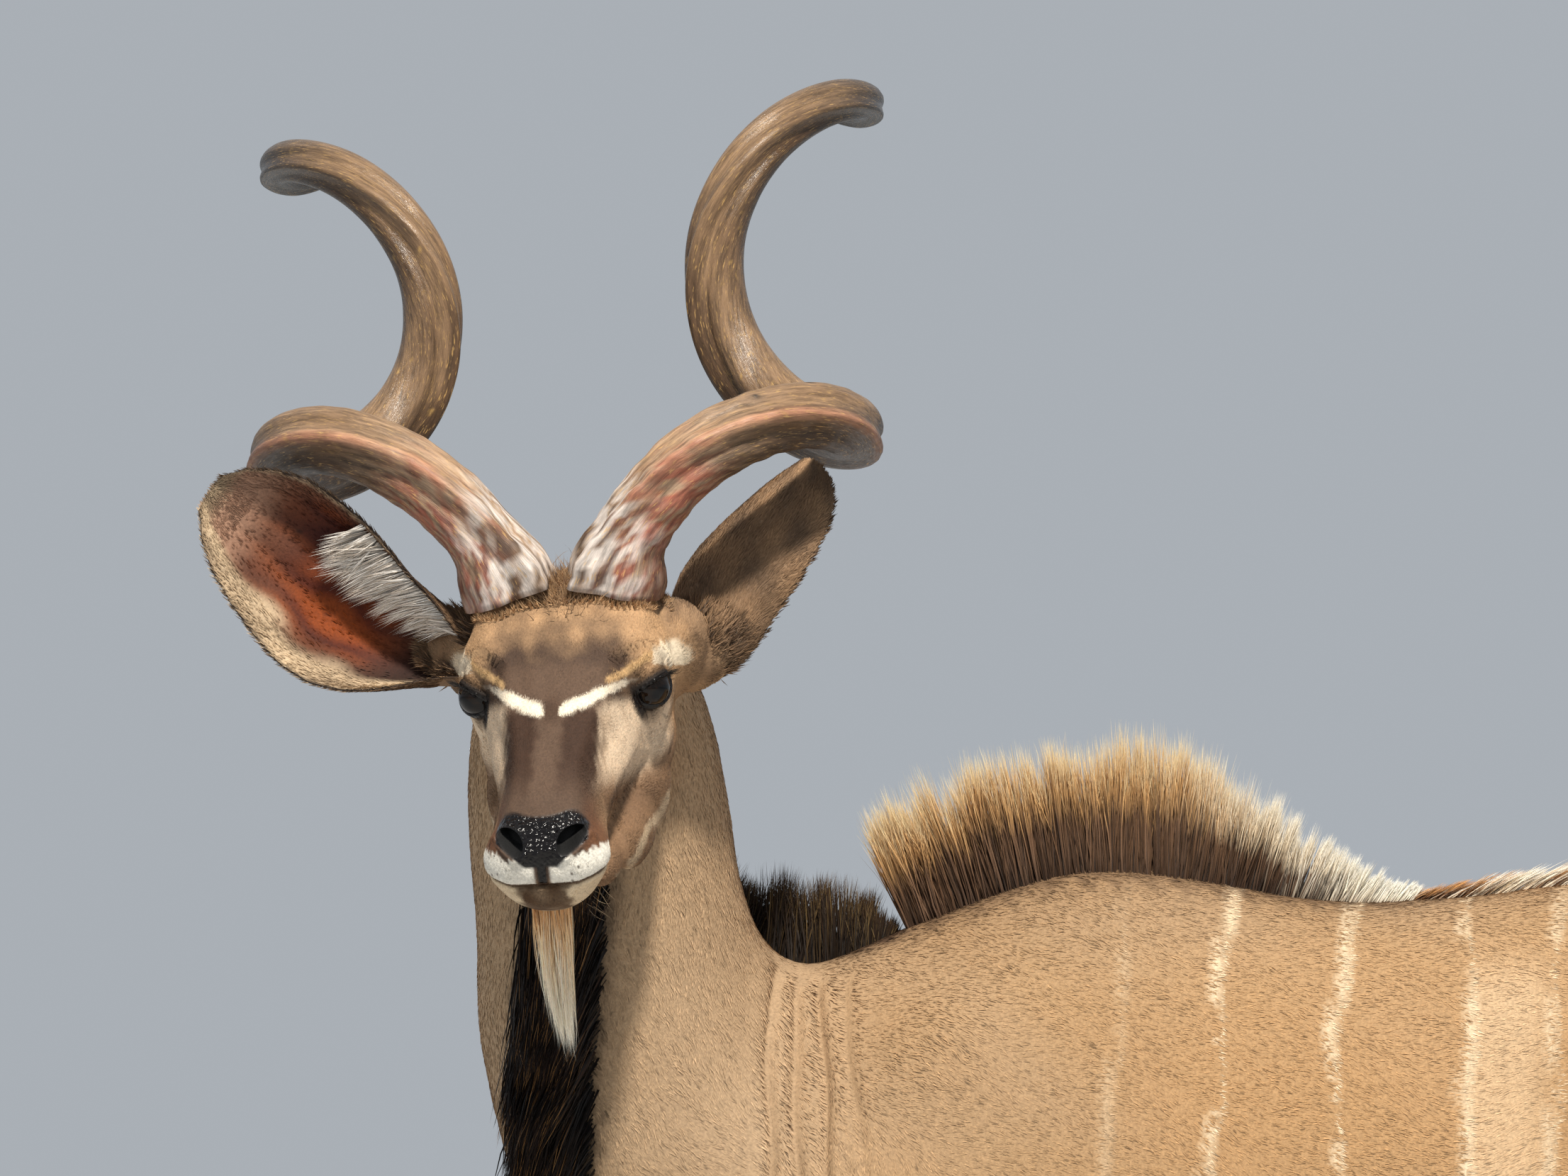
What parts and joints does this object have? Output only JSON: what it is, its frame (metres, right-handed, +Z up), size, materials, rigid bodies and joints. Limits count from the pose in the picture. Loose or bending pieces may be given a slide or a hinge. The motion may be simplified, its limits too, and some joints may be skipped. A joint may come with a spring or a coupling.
{
  "type": "greater kudu antelope",
  "caption": "Life-size greater kudu bull standing with its head turned over its left shoulder, spiral horns, cupped ears, a shoulder mane and a throat fringe.",
  "frame": {"origin": "on the floor, under the middle of the whole animal's bounding box", "axes": "+Z up; the body faces -Y, its left side is +X, and the head is turned to look along +X"},
  "size_m": [0.8624, 1.6398, 2.0957],
  "materials": {
    "coat": "short fawn-grey fur with thin pale stripes",
    "mane": "long dark brown hair with pale tips",
    "beard": "long cream hair",
    "horn": "worn, polished grey-brown horn",
    "hoof": "dull black hoof",
    "eye": "wet dark brown eye"
  },
  "bodies": {
    "root": {"trunk": "coat", "neck": "coat", "head": "coat", "tail": "coat", "ear_left": "coat", "ear_right": "coat", "eye_left": "eye", "eye_right": "eye", "horn_left": "horn", "horn_right": "horn", "foreleg_left_upper": "coat", "foreleg_left_lower": "coat", "foreleg_right_upper": "coat", "foreleg_right_lower": "coat", "hind_leg_left_upper": "coat", "hind_leg_left_lower": "coat", "hind_leg_right_upper": "coat", "hind_leg_right_lower": "coat", "hoof_foreleg_left_outer": "hoof", "hoof_foreleg_left_inner": "hoof", "hoof_foreleg_right_outer": "hoof", "hoof_foreleg_right_inner": "hoof", "hoof_hind_leg_left_outer": "hoof", "hoof_hind_leg_left_inner": "hoof", "hoof_hind_leg_right_outer": "hoof", "hoof_hind_leg_right_inner": "hoof", "mane_nape": "mane", "mane_withers": "mane", "mane_spine": "mane", "throat_fringe": "mane", "beard": "beard"}
  },
  "joints": []
}
